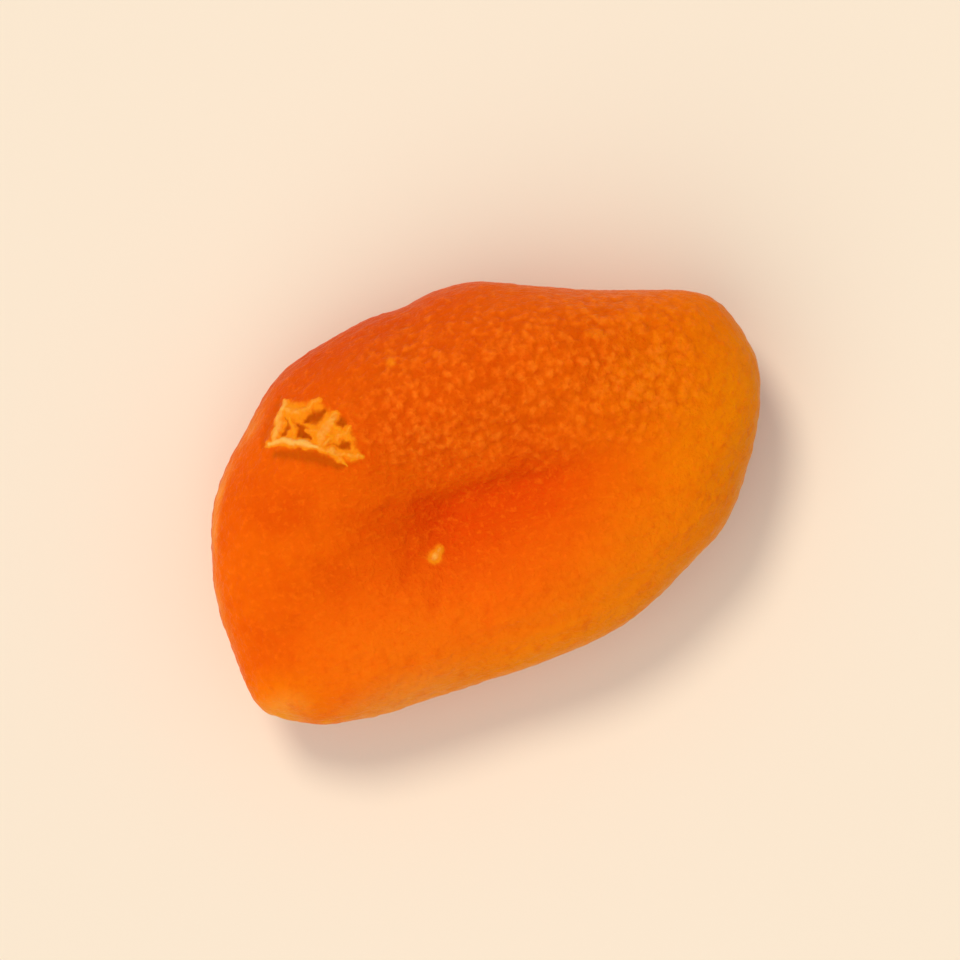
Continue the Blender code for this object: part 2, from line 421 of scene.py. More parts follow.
    def skin_point(self, cell: Vector) -> Vector:
        """The place of a block's corner on the fruit's main shape.

        Args:
            cell: the corner, each of x, y and z from -1 to 1.

        Returns:
            The place, before the fruit is set down.
        """
        place, share, height = self.cushion_point(cell)
        plan = place.xy
        facing = min(abs(height) / self.rim_band, 1.0)
        outwards = Vector((plan.x / self.length ** 2, plan.y / self.width ** 2)).normalized()
        slack = self.slack_skin(place, share, height) - self.pleats(place)
        relief = self.top_relief(plan) if height > 0.0 else self.belly_relief(plan)
        rise = relief * facing + slack * math.copysign(facing, height)
        side = slack * (1.0 - facing) * self.rim_tightness - self.seam_inset(plan, height) * share
        return place + Vector((outwards.x * side, outwards.y * side, rise))


@dataclass
class Strand:
    """A strip of skin along a bent line, raised or sunk by its rise, and narrower at both its ends.

    It is whole up to one share of its width from the line, and gone from another.
    """

    line: tuple[Vector, ...]
    width: float
    rise: float
    tint: float = 1.0
    taper: float = 0.5
    full_to: float = 0.1
    gone_from: float = 1.1

    def cover(self, place: Vector) -> float:
        """How fully the strip covers a place.

        Args:
            place: the place, of which only x and y are read.

        Returns:
            1 along the middle of the strip, falling to 0 at its edges.
        """
        best = 0.0
        parts = len(self.line) - 1
        for index in range(parts):
            away, share = distance_along(place.xy, self.line[index], self.line[index + 1])
            from_middle = abs(2.0 * (index + share) / parts - 1.0)
            width = self.width * (1.0 - self.taper * from_middle)
            best = max(best, smooth_step(self.gone_from * width, self.full_to * width, away))
        return best


@dataclass
class Spot:
    """A small round place on the skin, raised or sunk."""

    centre: Vector
    reach: Vector
    rise: float
    tint: float = 1.0

    def cover(self, place: Vector) -> float:
        """How fully the spot covers a place."""
        return hill(place - self.centre, self.reach)


@dataclass
class Touch:
    """What the fine skin does at one place.

    Attributes:
        out: how far the skin stands out, in metres.
        pale: how pale and dry it is.
        pocket_shade: how deep and shaded it is, as a share.
        grain: how much of a pebble's top it is.
        band: how pebbled the skin is round it.
        sunk: how much painted shade it gets from lying in a furrow.
    """

    out: float = 0.0
    pale: float = 0.0
    pocket_shade: float = 0.0
    grain: float = 0.0
    band: float = 0.0
    sunk: float = 0.0


@dataclass
class TornEnd:
    """The torn patch by the left end: a pale scab with shreds that stand up round sunk pockets."""

    edge: tuple[Vector, ...] = (
        mm(-9.5, 11.7), mm(-8.3, 10.9), mm(-7.3, 10.6), mm(-6.8, 9.1), mm(-6.3, 7.7),
        mm(-6.4, 6.6), mm(-6.5, 5.5), mm(-8.0, 6.0), mm(-9.1, 7.4), mm(-10.3, 8.4),
        mm(-12.0, 9.4), mm(-10.9, 10.6),
    )
    shreds: tuple[Strand, ...] = (
        Strand(
            (mm(-9.4, 11.7), mm(-10.2, 10.9), mm(-11.0, 10.1), mm(-11.7, 9.4)),
            0.62 * MM, 0.15 * MM, 0.8,
        ),
        Strand((mm(-12.0, 9.5), mm(-10.9, 9.2), mm(-10.0, 8.6), mm(-9.0, 7.7)), 0.62 * MM, 0.16 * MM),
        Strand((mm(-9.4, 8.0), mm(-8.0, 6.8), mm(-6.5, 5.6)), 0.56 * MM, 0.14 * MM, 0.7),
        Strand((mm(-9.7, 11.4), mm(-9.4, 10.7), mm(-9.0, 10.4)), 0.56 * MM, 0.11 * MM, 0.7),
        Strand((mm(-9.1, 10.6), mm(-8.2, 10.4), mm(-7.3, 10.7)), 0.50 * MM, 0.11 * MM, 0.65),
        Strand((mm(-6.7, 9.2), mm(-7.9, 8.6), mm(-8.7, 7.8)), 0.90 * MM, 0.12 * MM, 0.7),
        Strand((mm(-9.2, 9.2), mm(-8.2, 8.6)), 0.46 * MM, 0.12 * MM, 0.6),
        Strand((mm(-8.8, 7.8), mm(-7.6, 7.6), mm(-6.3, 7.7)), 0.60 * MM, 0.12 * MM, 0.65),
        Strand((mm(-9.7, 10.4), mm(-9.9, 9.7), mm(-10.2, 9.0)), 0.42 * MM, 0.12 * MM, 0.55),
        Strand((mm(-8.1, 6.7), mm(-7.8, 5.6)), 0.40 * MM, 0.12 * MM, 0.6, 0.8),
    )
    # Each pocket's tint is how much painted shade it gets; the last two sit under the lowest shred and
    # outside the top-left edge.
    pockets: tuple[Strand, ...] = (
        Strand((mm(-8.9, 9.8), mm(-8.1, 9.7), mm(-7.3, 9.8)), 0.70 * MM, 0.16 * MM, 0.85),
        Strand((mm(-9.6, 9.7), mm(-9.5, 9.1), mm(-9.3, 8.4)), 0.90 * MM, 0.18 * MM, 0.9),
        Strand((mm(-8.3, 7.3), mm(-7.5, 7.0), mm(-6.9, 6.8)), 0.75 * MM, 0.18 * MM, 0.85),
        Strand((mm(-6.8, 9.0), mm(-6.6, 8.2)), 0.60 * MM, 0.14 * MM, 0.8),
        Strand((mm(-10.1, 10.5), mm(-10.8, 9.6)), 0.60 * MM, 0.16 * MM, 0.8),
        Strand(
            (mm(-11.8, 8.6), mm(-10.4, 7.9), mm(-9.1, 6.8), mm(-8.2, 5.7)),
            0.80 * MM, 0.12 * MM, 0.6,
        ),
        Strand((mm(-9.7, 12.2), mm(-11.2, 11.0), mm(-12.4, 9.6)), 0.60 * MM, 0.08 * MM, 0.25, 0.7),
    )
    nearby: float = 5.0 * MM
    margin: float = 0.7 * MM
    centre: Vector = mm(-9.3, 8.7)
    scab_rise: float = 0.05 * MM
    scab_edge: float = 0.45 * MM
    scab_paleness: float = 0.5
    scab_grain: float = 0.12 * MM
    fine_grain: float = 0.5
    fray: float = 0.22 * MM
    fray_length: float = 0.75 * MM
    fine_fray: float = 0.08 * MM
    fine_fray_length: float = 0.28 * MM

    def inside(self, plan: Vector) -> float:
        """How far a place lies inside the patch's edge.

        Args:
            plan: the place seen from above.

        Returns:
            The distance from the edge in metres, below 0 outside it.
        """
        nearest = self.nearby
        within = False
        for start, end in zip(self.edge, self.edge[1:] + self.edge[:1]):
            nearest = min(nearest, distance_along(plan, start, end)[0])
            if (start.y > plan.y) != (end.y > plan.y):
                crossing = start.x + (plan.y - start.y) / (end.y - start.y) * (end.x - start.x)
                within ^= plan.x < crossing
        return nearest if within else -nearest

    def near(self, plan: Vector) -> bool:
        """Whether a place is on the patch or just beside it."""
        return (plan - self.centre).length < self.nearby and self.inside(plan) > -self.margin

    def add_to(self, touch: Touch, plan: Vector) -> None:
        """Raise the patch's skin and colour it.

        Args:
            touch: what the skin does at the place.
            plan: the place seen from above.
        """
        if (plan - self.centre).length > self.nearby:
            return
        place = plan.to_3d()
        coarse = noise.noise_vector(place / self.fray_length)
        fine = noise.noise_vector(place / self.fine_fray_length)
        frayed = plan + coarse.xy * self.fray + fine.xy * self.fine_fray
        scab = smooth_step(-self.scab_edge, self.scab_edge, self.inside(frayed))
        grain = self.scab_grain * (coarse.z + self.fine_grain * fine.z)
        touch.out += scab * (self.scab_rise + grain)
        touch.pale = scab * self.scab_paleness
        # painted shade: each pocket is sunk and darkened by its tint
        for pocket in self.pockets:
            cover = pocket.cover(frayed)
            touch.out -= cover * pocket.rise
            touch.pocket_shade = max(touch.pocket_shade, cover * pocket.tint)
        touch.pale *= 1.0 - touch.pocket_shade
        raised = 0.0
        for shred in self.shreds:
            cover = shred.cover(frayed)
            raised = max(raised, cover ** 2 * shred.rise)
            touch.pale = max(touch.pale, cover * shred.tint)
            touch.pocket_shade = min(touch.pocket_shade, 1.0 - cover)
        touch.out += raised


@dataclass
class FineSkin:
    """The skin's fine relief: pebbles on the upper lobe, fine wrinkles, the torn end and crumbs."""

    torn_end: TornEnd = field(default_factory=TornEnd)
    seed: int = 11
    band_start: Vector = mm(-0.5, 7.4)
    band_end: Vector = mm(13.5, 2.8)
    band_inner: float = 3.2 * MM
    band_outer: float = 8.0 * MM
    pebble_size: float = 0.70 * MM
    pebble_reach: float = 0.85
    pebble_top: float = 0.1
    pebble_height: float = 0.085 * MM
    pebble_spread: float = 0.65
    pebble_warp: float = 0.28 * MM
    pebble_warp_length: float = 0.55 * MM
    cell_middle: Vector = Vector((0.5, 0.5, 0.5))
    neighbours: tuple[Vector, ...] = tuple(
        Vector(steps) for steps in itertools.product((-1.0, 0.0, 1.0), repeat=3)
    )
    pebbles_elsewhere: float = 0.3
    line_length: Vector = mm(5.2, 0.95, 0.85)
    line_depth: float = 0.045 * MM
    line_narrowing: float = 2.6
    line_fade: float = 0.6
    line_wander: float = 1.3
    line_wander_length: float = 5.0 * MM
    line_shift: Vector = Vector((9.0, 4.0, 2.0))
    nap_length: float = 0.62 * MM
    nap_height: float = 0.05 * MM
    crumbs: tuple[Spot, ...] = (
        Spot(mm(-5.2, -3.15, 4.0), mm(0.46, 0.46, 9.0), 0.18 * MM, 0.9),
        Spot(mm(-4.7, -2.85, 4.0), mm(0.36, 0.36, 9.0), 0.14 * MM, 0.75),
        Spot(mm(-20.7, -8.2, 2.4), mm(0.9, 0.5, 0.8), 0.08 * MM, 0.75),
        Spot(mm(-20.0, -8.9, 2.3), mm(0.6, 0.4, 0.5), 0.05 * MM, 0.4),
        Spot(mm(-17.6, -10.0, 2.6), mm(0.9, 0.4, 0.7), 0.04 * MM, 0.35),
        Spot(mm(-16.0, -10.4, 2.8), mm(0.7, 0.4, 0.6), 0.04 * MM, 0.3),
        Spot(mm(-1.5, 10.6, 6.0), mm(0.45, 0.40, 9.0), 0.08 * MM, 0.3),
        Spot(mm(-6.0, 9.4, 6.0), mm(0.4, 0.35, 9.0), 0.08 * MM, 0.16),
        Spot(mm(-5.4, 8.5, 6.0), mm(0.4, 0.35, 9.0), 0.08 * MM, 0.16),
        Spot(mm(-5.8, 6.6, 6.0), mm(0.45, 0.4, 9.0), 0.08 * MM, 0.14),
    )
    strands: tuple[Strand, ...] = (
        Strand(
            (mm(-3.6, -9.2), mm(-1.5, -10.0), mm(0.3, -10.6), mm(4.0, -10.9), mm(8.2, -10.4)),
            0.9 * MM, 0.06 * MM, 0.10,
        ),
        Strand((mm(-3.8, -10.9), mm(-0.5, -11.8), mm(3.8, -12.2)), 0.8 * MM, 0.05 * MM, 0.08),
        Strand((mm(-3.6, -3.0), mm(-5.1, -6.5)), 0.9 * MM, 0.07 * MM, 0.04),
        Strand((mm(-1.4, 1.6), mm(0.8, 0.5), mm(3.4, 0.0)), 0.9 * MM, 0.08 * MM, 0.04),
        Strand((mm(-4.2, 11.6), mm(-1.6, 10.8)), 0.7 * MM, 0.06 * MM, 0.08),
        Strand((mm(-4.4, 6.3), mm(-2.8, 5.4)), 0.7 * MM, 0.06 * MM, 0.08),
        Strand((mm(11.7, 6.0), mm(13.0, 5.2)), 0.6 * MM, 0.08 * MM, 0.18),
    )
    # Each furrow's tint is how much painted shade it gets.
    furrows: tuple[Strand, ...] = (
        Strand((mm(-6.5, -2.1), mm(-8.0, -3.7)), 0.9 * MM, 0.08 * MM, 0.3),
        Strand((mm(-6.0, -5.0), mm(-7.5, -6.9)), 0.9 * MM, 0.08 * MM, 0.25),
        Strand((mm(-3.5, -8.0), mm(-4.3, -9.9)), 0.8 * MM, 0.07 * MM, 0.2),
        Strand((mm(-3.0, -10.0), mm(-0.2, -11.0), mm(4.4, -11.5)), 0.7 * MM, 0.05 * MM, 0.1),
        Strand(
            (mm(-6.8, 1.6), mm(-3.3, 0.4), mm(-1.2, -0.2), mm(0.9, -0.8), mm(2.9, -1.2), mm(5.4, -2.3)),
            1.0 * MM, 0.14 * MM, 0.4,
        ),
    )

    def band(self, plan: Vector) -> float:
        """How far a place is inside the pebbled band of the upper lobe, from 0 to 1."""
        away, _ = distance_along(plan, self.band_start, self.band_end)
        return smooth_step(self.band_outer, self.band_inner, away)

    def pebble(self, place: Vector) -> float:
        """The height of the pebble at a place.

        Args:
            place: the place on the skin.

        Returns:
            0 between pebbles, and up to 1 on the tallest tops.
        """
        warp = noise.noise_vector(place / self.pebble_warp_length) * self.pebble_warp
        here = (place + warp) / self.pebble_size
        corner = Vector([math.floor(part) for part in here])
        height = 0.0
        for step in self.neighbours:
            cell = corner + step
            shift = noise.cell_vector(cell + self.cell_middle)
            away = (cell + shift - here).length
            if away < self.pebble_reach:
                top = 1.0 - self.pebble_spread * abs(shift.x - shift.y)
                height = max(height, top * smooth_step(self.pebble_reach, self.pebble_top, away))
        return height

    def lines(self, place: Vector) -> float:
        """The depth of the fine wrinkles that run lengthwise.

        Args:
            place: the place on the skin.

        Returns:
            The depth as a share of the deepest.
        """
        grain = Vector([place[axis] / self.line_length[axis] for axis in range(3)])
        wander = place / self.line_wander_length
        grain.y += self.line_wander * noise.noise(wander)
        grain.z += self.line_wander * noise.noise(wander + self.line_shift)
        return max(1.0 - self.line_narrowing * abs(noise.noise(grain)), 0.0)

    def touch(self, place: Vector, upper: bool) -> Touch:
        """The fine skin at a place.

        Args:
            place: the place on the skin.
            upper: whether it lies on the upper face.

        Returns:
            What the fine skin does there.
        """
        touch = Touch()
        plan = place.xy
        band = touch.band = self.band(plan) if upper else 0.0
        grainy = self.pebbles_elsewhere + (1.0 - self.pebbles_elsewhere) * band
        touch.grain = self.pebble(place) * grainy
        touch.out = self.pebble_height * touch.grain
        touch.out -= self.line_depth * self.lines(place) * (1.0 - self.line_fade * band)
        touch.out += self.nap_height * noise.noise(place / self.nap_length)
        if upper:
            self.torn_end.add_to(touch, plan)
            for mark in self.crumbs + self.strands:
                cover = mark.cover(place)
                touch.out += cover * mark.rise
                touch.pale = max(touch.pale, cover * mark.tint)
            # painted shade: each furrow is sunk and darkened by its tint
            for furrow in self.furrows:
                cover = furrow.cover(place)
                touch.out -= cover * furrow.rise
                touch.sunk = max(touch.sunk, cover * furrow.tint)
        return touch


class Field:
    """A number that varies over the surface: arithmetic on it adds Math nodes."""

    def __init__(self, shader: Shader, socket: bpy.types.NodeSocket) -> None:
        """Wrap an output socket of a shader's node."""
        self.shader = shader
        self.socket = socket

    def __add__(self, other: Field | float) -> Field:
        """The sum."""
        return self.shader.maths("ADD", self, other)

    def __sub__(self, other: Field | float) -> Field:
        """The difference."""
        return self.shader.maths("SUBTRACT", self, other)

    def __mul__(self, other: Field | float) -> Field:
        """The product."""
        return self.shader.maths("MULTIPLY", self, other)

    def larger(self, other: Field | float) -> Field:
        """The larger of the two."""
        return self.shader.maths("MAXIMUM", self, other)

    def between(self, low: float, high: float, most: float = 1.0) -> Field:
        """An S-curve between two values.

        Args:
            low: the value that becomes 0.
            high: the value that becomes the most.
            most: the curve's upper end.

        Returns:
            The remapped number.
        """
        node = self.shader.node(
            "ShaderNodeMapRange",
            {"interpolation_type": "SMOOTHSTEP"},
            {"Value": self, "From Min": low, "From Max": high, "To Max": most},
        )
        return Field(self.shader, node.outputs["Result"])


class Shader:
    """A material under construction, with one method for every kind of node.

    A Mix node names its number, vector and colour sockets alike, so the colour ones go by number.
    """

    COLOUR_BELOW = 6
    COLOUR_ABOVE = 7
    COLOUR_RESULT = 2
    MOTTLE_ROUGHNESS = 0.6

    def __init__(self, name: str) -> None:
        """Start a material that holds only its Principled shader."""
        self.material = bpy.data.materials.new(name)
        self.material.use_nodes = True
        self.tree = self.material.node_tree
        self.surface = self.tree.nodes["Principled BSDF"]

    def node(
        self, kind: str, settings: dict[str, object], inputs: dict[str | int, object]
    ) -> bpy.types.Node:
        """Add a node.

        Args:
            kind: the node's type.
            settings: its own settings, which are set first.
            inputs: plain values or links for its sockets.

        Returns:
            The node.
        """
        node = self.tree.nodes.new(kind)
        for name, value in settings.items():
            setattr(node, name, value)
        for name, value in inputs.items():
            self.feed(node.inputs[name], value)
        return node

    def feed(self, socket: bpy.types.NodeSocket, value: object) -> None:
        """Give a socket a plain value or a link.

        Args:
            socket: the input socket.
            value: a number, a colour, a vector, a Field or another node's socket.
        """
        if isinstance(value, Field):
            value = value.socket
        if isinstance(value, bpy.types.NodeSocket):
            self.tree.links.new(value, socket)
        else:
            socket.default_value = value

    def maths(self, operation: str, first: Field | float, second: Field | float) -> Field:
        """A Math node on two numbers."""
        node = self.node("ShaderNodeMath", {"operation": operation}, {0: first, 1: second})
        return Field(self, node.outputs[0])

    def mark(self, mark: Mark) -> Field:
        """What the mesh remembers about its skin there."""
        node = self.node("ShaderNodeAttribute", {"attribute_name": mark.value}, {})
        return Field(self, node.outputs["Fac"])

    def place(
        self, scale: Sequence[float] = (1.0, 1.0, 1.0), shift: Sequence[float] = (0.0, 0.0, 0.0)
    ) -> bpy.types.NodeSocket:
        """The place on the object.

        Args:
            scale: how much it is stretched along each axis.
            shift: how far it is moved after that.

        Returns:
            The vector socket.
        """
        place = self.node("ShaderNodeTexCoord", {}, {}).outputs["Object"]
        inputs = {"Vector": place, "Location": shift, "Scale": scale}
        return self.node("ShaderNodeMapping", {}, inputs).outputs["Vector"]

    def mottle(self, size: float, detail: float, scale: Sequence[float] = (1.0, 1.0, 1.0)) -> Field:
        """Soft noise with patches of a real size.

        Args:
            size: the patches' size in metres.
            detail: how many finer layers it has.
            scale: how much the place is stretched along each axis.

        Returns:
            The noise, about 0 to 1.
        """
        inputs = {"Vector": self.place(scale), "Scale": 1.0 / size, "Detail": detail}
        inputs["Roughness"] = self.MOTTLE_ROUGHNESS
        return Field(self, self.node("ShaderNodeTexNoise", {}, inputs).outputs["Fac"])

    def cells(self, size: float) -> Field:
        """The distance from the middles of irregular cells.

        Args:
            size: the cells' size in metres.

        Returns:
            0 in each cell's middle, and about 1 at its edges.
        """
        node = self.node("ShaderNodeTexVoronoi", {}, {"Vector": self.place(), "Scale": 1.0 / size})
        return Field(self, node.outputs["Distance"])

    def near(self, centre: Vector, reach: Vector) -> Field:
        """A soft patch round a place on the fruit.

        Args:
            centre: the patch's middle seen from above.
            reach: how far it goes in x and y.

        Returns:
            1 in the middle, falling to 0 at its reach.
        """
        scale = Vector((1.0 / reach.x, 1.0 / reach.y, 0.0))
        shift = Vector((-centre.x * scale.x, -centre.y * scale.y, 0.0))
        offset = {0: self.place(scale, shift)}
        length = self.node("ShaderNodeVectorMath", {"operation": "LENGTH"}, offset)
        return Field(self, length.outputs["Value"]).between(1.0, 0.0)

    def mix(self, share: Field, below: object, above: object) -> bpy.types.NodeSocket:
        """A blend of two colours.

        Args:
            share: how much of the second colour shows.
            below: the first colour, plain or linked.
            above: the second colour, plain or linked.

        Returns:
            The blended colour.
        """
        node = self.node("ShaderNodeMix", {"data_type": "RGBA"}, {"Factor": share})
        self.feed(node.inputs[self.COLOUR_BELOW], below)
        self.feed(node.inputs[self.COLOUR_ABOVE], above)
        return node.outputs[self.COLOUR_RESULT]


def colour(*parts: int) -> tuple[float, ...]:
    """A colour as a screen shows it, turned into a shader's linear colour by the sRGB curve.

    Args:
        parts: how much red, green and blue it has, each from 0 to 255.

    Returns:
        The linear colour.
    """
    shares = [part / 255.0 for part in parts]
    linear = [s / 12.92 if s <= 0.04045 else ((s + 0.055) / 1.055) ** 2.4 for s in shares]
    return (*linear, 1.0)


@dataclass(frozen=True)
class Patch:
    """A soft patch of another colour, seen from above."""

    centre: Vector
    reach: Vector
    share: float
    tone: tuple


@dataclass(frozen=True)
class SkinFinish:
    """Satin, slightly translucent dried skin, with painted shade in the hollow, the fold and the upper
    rim, and painted light on the lower-left lobe and on the lower, right and side-facing rims.

    A noise is its size and its finer layers, and at times its stretch. A range is where a colour
    starts to show, where it shows most, and how much of it shows there.
    """

    flesh: tuple = colour(240, 102, 2)
    browner: tuple = colour(230, 86, 1)
    # painted shade: this colour and the next darken the upper lobe and its top rim
    upper: tuple = colour(230, 88, 2)
    top_rim_shade: tuple = colour(208, 54, 2)
    # painted shade: the red of the hollow, the fold and the furrows
    deep: tuple = colour(222, 46, 1)
    # painted light that brightens the lower-left lobe; the same colour also makes random streaks and
    # flecks
    lit_lobe_and_streaks: tuple = colour(255, 118, 10)
    # painted light: brightens the lower and lower-right rims
    lit_lower_edge: tuple = colour(255, 148, 12)
    # painted light: makes the right rim amber, as if lit through the flesh; it also tints the tip
    amber: tuple = colour(248, 138, 1)
    # painted rim light on the side-facing rims and the lower-left edge; this colour also makes the tip
    # paler
    edge: tuple = colour(255, 154, 52)
    scab: tuple = colour(252, 146, 18)
    pale: tuple = colour(255, 183, 90)
    # painted shade in the pockets of the torn patch
    pocket_shade: tuple = colour(190, 78, 0)
    # painted highlight: glints on pebble tops
    pebble: tuple = colour(255, 132, 26)
    # painted shade in the gaps between pebbles and along the cell edges
    valley_shade: tuple = colour(214, 78, 0)
    shine: tuple = (1.0, 0.6, 0.12, 1.0)

    # painted light and shade: a darker upper lobe and top rim, a brighter lower-left lobe and lower
    # rims, an amber right rim and tip, and a paler lower-left edge and tip
    light_and_shade_patches: tuple[Patch, ...] = (
        Patch(mm(-2.0, 12.0), mm(28.0, 13.0), 0.9, upper),
        Patch(mm(-3.0, 16.0), mm(26.0, 6.5), 0.8, top_rim_shade),
        Patch(mm(-9.0, -9.5), mm(20.0, 10.5), 1.0, lit_lobe_and_streaks),
        Patch(mm(11.0, -12.0), mm(17.0, 9.5), 0.65, lit_lower_edge),
        Patch(mm(-4.0, -15.5), mm(26.0, 6.5), 1.0, lit_lower_edge),
        Patch(mm(20.0, -4.0), mm(18.0, 16.0), 0.95, amber),
        Patch(mm(-20.5, -8.0), mm(5.0, 4.0), 0.6, amber),
        Patch(mm(-14.5, -12.2), mm(10.0, 3.4), 0.8, edge),
        Patch(mm(-20.8, -8.6), mm(3.4, 2.6), 0.95, edge),
    )
    # where painted rim light goes on the right and left rims
    lit_rim_right: tuple = (mm(14.0, -8.0), mm(17.0, 13.0))
    lit_rim_left: tuple = (mm(-17.0, 5.0), mm(13.0, 13.0))

    cloud_noise: tuple = (6.0 * MM, 3.0)
    freckle_noise: tuple = (1.1 * MM, 4.0)
    fine_noise: tuple = (0.45 * MM, 3.0)
    streak_noise: tuple = (1.0 * MM, 2.0, (0.22, 1.0, 1.0))
    cell_size: float = 0.62 * MM

    cloud_range: tuple = (0.35, 0.7)
    lit_rim_range: tuple = (0.0, 0.7)
    lit_rim_cloud_range: tuple = (0.3, 0.6)
    streak_range: tuple = (0.55, 0.8, 0.15)
    fleck_range: tuple = (0.5, 0.75, 0.4)
    cell_range: tuple = (0.4, 0.8, 0.35)
    gap_range: tuple = (0.6, 0.0, 0.3)
    glint_range: tuple = (0.45, 1.15, 0.6)
    ragged_range: tuple = (0.05, 0.4, 0.5)
    scab_range: tuple = (0.05, 0.46, 0.95)
    pale_range: tuple = (0.5, 1.1)

    sunk_shade_share: float = 0.6
    rim_light_share: float = 0.7
    cells_elsewhere: float = 0.2
    speckle_grain: float = 0.5
    speckle_fine: float = 0.9
    speckles_elsewhere: float = 0.3

    freckle_bump: float = 0.16
    streak_bump: float = 0.1
    fine_bump: float = 0.2
    cell_bump: float = 0.08
    roughness: float = 0.42
    freckle_roughness: float = 0.2
    pale_roughness: float = 0.2
    band_gloss: float = 0.1
    refraction: float = 1.17
    glow_depth: float = 1.5 * MM
    glow_spread: tuple = (1.0, 0.32, 0.08)
    glow_share: float = 0.7

    def make(self) -> bpy.types.Material:
        """Build the material.

        Returns:
            The material.
        """
        skin = Shader("dried_skin")
        pale, pocket_shade, grain, band, rim, sunk = (skin.mark(mark) for mark in Mark)
        clouds = skin.mottle(*self.cloud_noise)
        freckles = skin.mottle(*self.freckle_noise)
        fine = skin.mottle(*self.fine_noise)
        streaks = skin.mottle(*self.streak_noise)
        cells = skin.cells(self.cell_size)
        ragged = pale + (fine - NOISE_MIDDLE) * pale.between(*self.ragged_range)
        bumpy = band * (1.0 - self.cells_elsewhere) + self.cells_elsewhere
        # painted highlight: glints on pebble tops, strongest in the pebbled band
        painted_glints = (grain * self.speckle_grain + fine * self.speckle_fine).between(*self.glint_range)
        painted_glints *= band * (1.0 - self.speckles_elsewhere) + self.speckles_elsewhere
        # painted rim light on the right and left rims, broken up by the clouds
        lit_rim_area = skin.near(*self.lit_rim_right).larger(skin.near(*self.lit_rim_left))
        lit_rim_area = lit_rim_area.between(*self.lit_rim_range) * clouds.between(*self.lit_rim_cloud_range)

        tone = skin.mix(clouds.between(*self.cloud_range), self.flesh, self.browner)
        # painted light and shade, one soft area after another
        for patch in self.light_and_shade_patches:
            tone = skin.mix(skin.near(patch.centre, patch.reach) * patch.share, tone, patch.tone)
        # painted shade in the hollow, the fold, the furrows, the pockets and the pebble gaps, painted
        # rim light and painted glints, laid over the skin's own streaks, flecks and torn shreds
        layers = (
            (sunk * self.sunk_shade_share, self.deep),
            (rim * lit_rim_area * self.rim_light_share, self.edge),
            (streaks.between(*self.streak_range), self.lit_lobe_and_streaks),
            (freckles.between(*self.fleck_range), self.browner),
            (fine.between(*self.fleck_range), self.lit_lobe_and_streaks),
            (cells.between(*self.cell_range) * bumpy, self.valley_shade),
            (grain.between(*self.gap_range) * band, self.valley_shade),
            (painted_glints, self.pebble),
            (pocket_shade, self.pocket_shade),
            (ragged.between(*self.scab_range), self.scab),
            (ragged.between(*self.pale_range), self.pale),
        )
        for share, above in layers:
            tone = skin.mix(share, tone, above)

        height = freckles * self.freckle_bump + streaks * self.streak_bump + fine * self.fine_bump
        height -= cells * bumpy * self.cell_bump
        bump = skin.node("ShaderNodeBump", {}, {"Height": height, "Strength": 1.0, "Distance": MM})
        gloss = (freckles - NOISE_MIDDLE) * self.freckle_roughness + self.roughness
        gloss += pale * self.pale_roughness - band * self.band_gloss
        surface = skin.surface
        skin.feed(surface.inputs["Base Color"], tone)
        skin.feed(surface.inputs["Roughness"], gloss)
        skin.feed(surface.inputs["Normal"], bump.outputs["Normal"])
        surface.inputs["Subsurface Weight"].default_value = self.glow_share
        surface.inputs["Subsurface Radius"].default_value = self.glow_spread
        surface.inputs["Subsurface Scale"].default_value = self.glow_depth
        surface.inputs["IOR"].default_value = self.refraction
        surface.inputs["Specular Tint"].default_value = self.shine
        return skin.material


@dataclass(frozen=True)
class FloorFinish:
    """A plain cream surface."""

    cream: tuple = colour(246, 228, 204)
    roughness: float = 0.9

    def make(self) -> bpy.types.Material:
        """Build the material."""
        floor = Shader("cream_floor")
        floor.surface.inputs["Base Color"].default_value = self.cream
        floor.surface.inputs["Roughness"].default_value = self.roughness
        floor.surface.inputs["Specular IOR Level"].default_value = 0.0
        return floor.material


